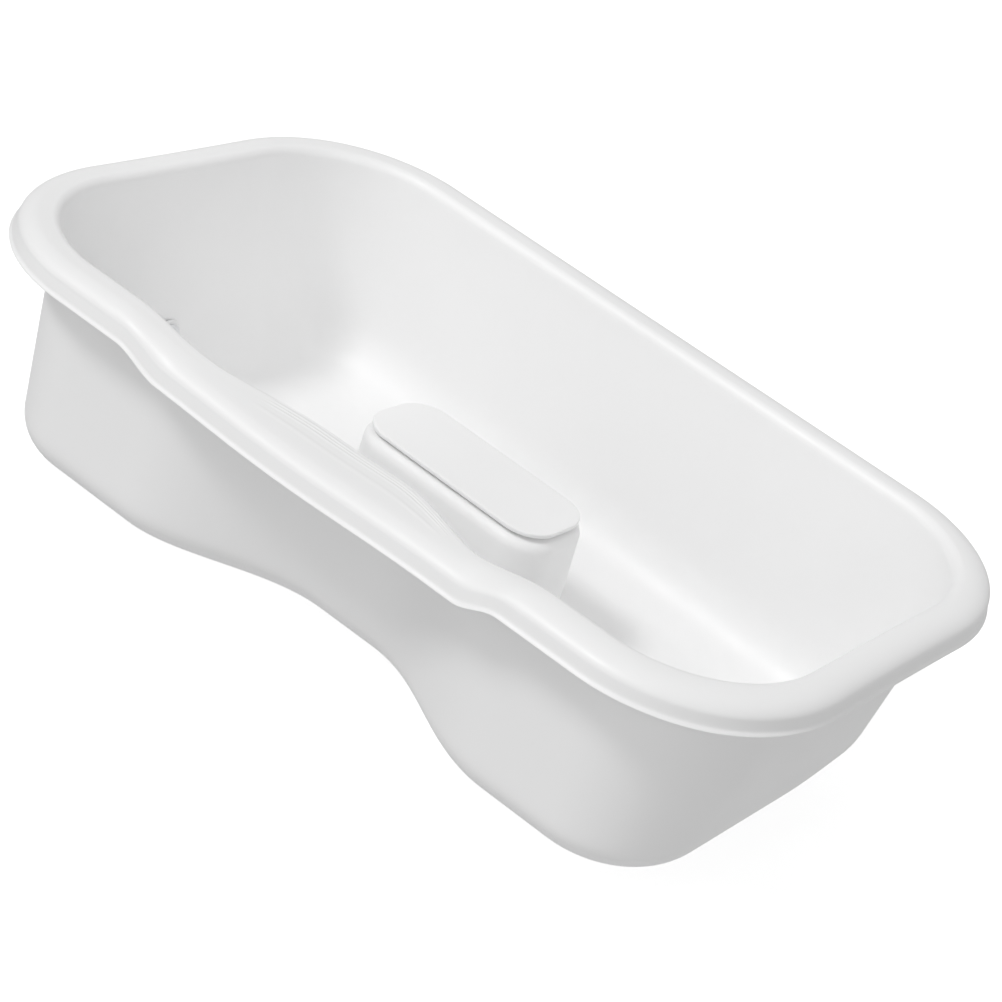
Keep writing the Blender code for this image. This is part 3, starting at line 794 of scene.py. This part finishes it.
def pad(end, side):
    """A non-slip pad, with ring-shaped grooves in its underside."""
    top = PAD_HEIGHT - GAP
    profile = rounded(
        [
            (PAD_DISC_RADIUS, top),
            (PAD_RADIUS, top),
            (PAD_RADIUS, 0.0),
            (PAD_RADIUS - PAD_BORDER, 0.0),
        ],
        (0.0, *PAD_EDGES, 0.0),
        closed=False,
    ).tolist()
    for middle in reversed(PAD_GROOVES):
        for out, depth in GROOVE_SECTION:
            profile.append((middle + out * GROOVE_HALF_WIDTH, depth * GROOVE_DEPTH))
    profile.append((PAD_DISC_RADIUS, 0.0))
    made = turned(f"pad_{end}_{side}", profile, first_cap=True, last_cap=True)
    made.location = (PAD_PLACES[end], PAD_SIDES[side], 0.0)
    bpy.context.view_layer.update()
    return finish_mesh(made)


class Nodes:
    """Adds nodes to a material and joins them up."""

    def __init__(self, material):
        self.tree = material.node_tree

    def add(self, kind, settings=None, **inputs):
        node = self.tree.nodes.new(kind)
        for key, value in (settings or {}).items():
            setattr(node, key, value)
        for key, value in inputs.items():
            self.give(node.inputs[key.replace("_", " ")], value)
        return node

    def give(self, socket, value):
        if isinstance(value, bpy.types.NodeSocket):
            self.tree.links.new(value, socket)
        else:
            socket.default_value = value


def moulded(name, colour, roughness, mottle=0.012, grain=900.0, depth=0.00002, gloss_change=0.05):
    """A moulded plastic or rubber: faint clouds in its colour and gloss, and a fine grain on its surface."""
    made = bpy.data.materials.new(name)
    made.use_nodes = True
    made.diffuse_color = (*colour, 1.0)
    shader = made.node_tree.nodes["Principled BSDF"]
    nodes = Nodes(made)
    place = nodes.add("ShaderNodeTexCoord").outputs["Object"]
    cloud = nodes.add("ShaderNodeTexNoise", Vector=place, Scale=CLOUD_SCALE, Detail=4.0, Roughness=0.55)
    dark = tuple(channel * (1.0 - mottle) for channel in colour) + (1.0,)
    light_colour = tuple(min(1.0, channel * (1.0 + mottle)) for channel in colour) + (1.0,)
    tint = nodes.add("ShaderNodeMix", {"data_type": "RGBA"})
    nodes.give(tint.inputs[0], cloud.outputs["Fac"])
    nodes.give(tint.inputs[6], dark)
    nodes.give(tint.inputs[7], light_colour)
    nodes.give(shader.inputs["Base Color"], tint.outputs[2])
    patches = nodes.add("ShaderNodeTexNoise", Vector=place, Scale=PATCH_SCALE, Detail=3.0, Roughness=0.5)
    gloss = nodes.add(
        "ShaderNodeMapRange",
        Value=patches.outputs["Fac"],
        From_Min=0.3,
        From_Max=0.7,
        To_Min=roughness - gloss_change,
        To_Max=roughness + gloss_change,
    )
    nodes.give(shader.inputs["Roughness"], gloss.outputs["Result"])
    skin = nodes.add("ShaderNodeTexNoise", Vector=place, Scale=grain, Detail=2.0, Roughness=0.6)
    bump = nodes.add("ShaderNodeBump", Height=skin.outputs["Fac"], Strength=GRAIN_STRENGTH, Distance=depth)
    nodes.give(shader.inputs["Normal"], bump.outputs["Normal"])
    return made


def dress(obj, body, slot, surface, *nodes):
    obj.data.materials.clear()
    obj.data.materials.append(surface)
    if nodes:
        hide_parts(*nodes)
    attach(obj, body)


def from_side(azimuth, elevation):
    """The unit vector towards a light that stands at this azimuth, from the near side, and elevation."""
    azimuth = math.radians(azimuth)
    elevation = math.radians(elevation)
    across = math.cos(elevation)
    return Vector((math.sin(azimuth) * across, -math.cos(azimuth) * across, math.sin(elevation)))


def far_light(name, towards, spread, strength):
    """A distant round softbox that covers this many degrees of the sky."""
    lamp = bpy.data.lights.new(name, "SUN")
    lamp.angle = math.radians(spread)
    lamp.energy = strength
    made = new_object(name, lamp)
    made.rotation_euler = towards.to_track_quat("Z", "Y").to_euler()
    return made


def soft_spot(name, place, target, power):
    lamp = bpy.data.lights.new(name, "SPOT")
    lamp.spot_size = math.radians(SPOT_CONE)
    lamp.spot_blend = 1.0
    lamp.shadow_soft_size = SPOT_SIZE
    lamp.energy = power
    made = new_object(name, lamp)
    made.location = place
    made.rotation_euler = (Vector(place) - Vector(target)).to_track_quat("Z", "Y").to_euler()
    return made


def camera():
    """The camera, from its place, the way it looks and its roll."""
    lens = bpy.data.cameras.new("camera")
    lens.sensor_width = SENSOR
    lens.lens = LENS
    made = new_object("camera", lens)
    turn = from_side(CAMERA_AZIMUTH, CAMERA_ELEVATION).to_track_quat("Z", "Y").to_matrix().to_4x4()
    roll = Matrix.Rotation(math.radians(CAMERA_ROLL), 4, "Z")
    made.matrix_world = Matrix.Translation(CAMERA_PLACE) @ turn @ roll
    bpy.context.scene.camera = made


def stage_piece(name, vertices, faces, surface):
    """A piece of the studio that only the camera sees, so it takes no light from the object."""
    mesh = bpy.data.meshes.new(name)
    mesh.from_pydata(vertices, [], faces)
    mesh.materials.append(surface)
    piece = new_object(name, mesh)
    piece.visible_diffuse = False
    piece.visible_glossy = False
    piece.visible_shadow = False


def stage_surface(name, colour, roughness, glow):
    """A matt surface that shines by itself."""
    surface = bpy.data.materials.new(name)
    surface.use_nodes = True
    shader = surface.node_tree.nodes["Principled BSDF"]
    shader.inputs["Base Color"].default_value = colour
    shader.inputs["Roughness"].default_value = roughness
    shader.inputs["Specular IOR Level"].default_value = 0.0
    shader.inputs["Emission Color"].default_value = WHITE
    shader.inputs["Emission Strength"].default_value = glow
    return surface


def stage():
    """A plain pale floor, and a pale round wall far behind it for views from low down."""
    matt = stage_surface("studio floor", FLOOR_COLOUR, FLOOR_ROUGHNESS, FLOOR_GLOW)
    half = FLOOR_HALF_SIZE
    corners = [(-half, -half, 0.0), (half, -half, 0.0), (half, half, 0.0), (-half, half, 0.0)]
    stage_piece("floor", corners, [(0, 1, 2, 3)], matt)
    vertices = []
    faces = []
    for step in range(BACKDROP_SIDES):
        angle = 2 * math.pi * step / BACKDROP_SIDES
        x = BACKDROP_RADIUS * math.cos(angle)
        y = BACKDROP_RADIUS * math.sin(angle)
        vertices += [(x, y, 0.0), (x, y, BACKDROP_HEIGHT)]
        low = 2 * step
        onward = 2 * ((step + 1) % BACKDROP_SIDES)
        faces.append((low, onward, onward + 1, low + 1))
    glowing = stage_surface("studio backdrop", BLACK, FLOOR_ROUGHNESS, BACKDROP_GLOW)
    stage_piece("backdrop", vertices, faces, glowing)


def math_node(tree, operation, first, second):
    node = tree.nodes.new("ShaderNodeMath")
    node.operation = operation
    for socket, value in zip(node.inputs, (first, second)):
        if isinstance(value, bpy.types.NodeSocket):
            tree.links.new(value, socket)
        else:
            socket.default_value = value
    return node.outputs[0]


def studio():
    """A white dome that is brighter on some sides, a key light, fills and soft spots."""
    world = bpy.data.worlds.new("studio")
    world.use_nodes = True
    tree = world.node_tree
    direction = tree.nodes.new("ShaderNodeTexCoord").outputs["Generated"]
    split = tree.nodes.new("ShaderNodeSeparateXYZ")
    tree.links.new(direction, split.inputs[0])
    total = 0.0
    for axis, (plus, minus) in zip(split.outputs, DOME):
        towards_plus = math_node(tree, "MULTIPLY", axis, plus)
        towards_minus = math_node(tree, "MULTIPLY", axis, -minus)
        side = math_node(tree, "MAXIMUM", towards_plus, towards_minus)
        total = math_node(tree, "ADD", side, total)
    background = tree.nodes["Background"]
    background.inputs["Color"].default_value = WHITE
    tree.links.new(total, background.inputs["Strength"])
    bpy.context.scene.world = world
    bpy.context.scene.view_settings.view_transform = "Standard"
    far_light("key", Vector(KEY_DIRECTION), KEY_SPREAD, KEY_STRENGTH)
    for name, azimuth, strength in FILLS:
        far_light(name, from_side(azimuth, FILL_ELEVATION), FILL_SPREAD, strength)
    for spot in SPOTS:
        soft_spot(*spot)


camera()
stage()
studio()
tub_white = moulded("tub plastic", (0.93, 0.93, 0.93), 0.42)
lid_white = moulded("lid plastic", (0.92, 0.92, 0.92), 0.5, grain=1400.0, depth=0.00004)
fitting_white = moulded("fitting plastic", (0.86, 0.865, 0.865), 0.4)
plug_white = moulded("plug plastic", (0.84, 0.85, 0.86), 0.46)
rubber = moulded("grey rubber", (0.42, 0.43, 0.44), 0.75, mottle=0.06, grain=1100.0, depth=0.00005)
dress(tub(), "tub", "tub_plastic", tub_white, "tub_shell")
dress(lid(), "lid", "lid_plastic", lid_white, "lid")
dress(gasket(), "lid", "grey_rubber", rubber, "lid_gasket")
dress(bush(), "tub", "fitting_plastic", fitting_white, "drain_bush")
dress(nut(), "tub", "fitting_plastic", fitting_white, "drain_nut")
inner = seal("drain_seal_inside", FLANGE_RADIUS - SEAL_INSET, GAP, GAP + SEAL_THICKNESS)
dress(inner, "tub", "grey_rubber", rubber, "drain_inner_seal")
outer_high = -WALL - GAP
outer = seal("drain_seal_outside", OUTER_SEAL_RADIUS, outer_high - SEAL_THICKNESS, outer_high)
dress(outer, "tub", "grey_rubber", rubber, "drain_outer_seal")
dress(plug(), "plug", "plug_plastic", plug_white, "drain_plug")
for end in PAD_PLACES:
    for side in PAD_SIDES:
        dress(pad(end, side), "tub", "grey_rubber", rubber, f"grip_pad_{end}_{side}")
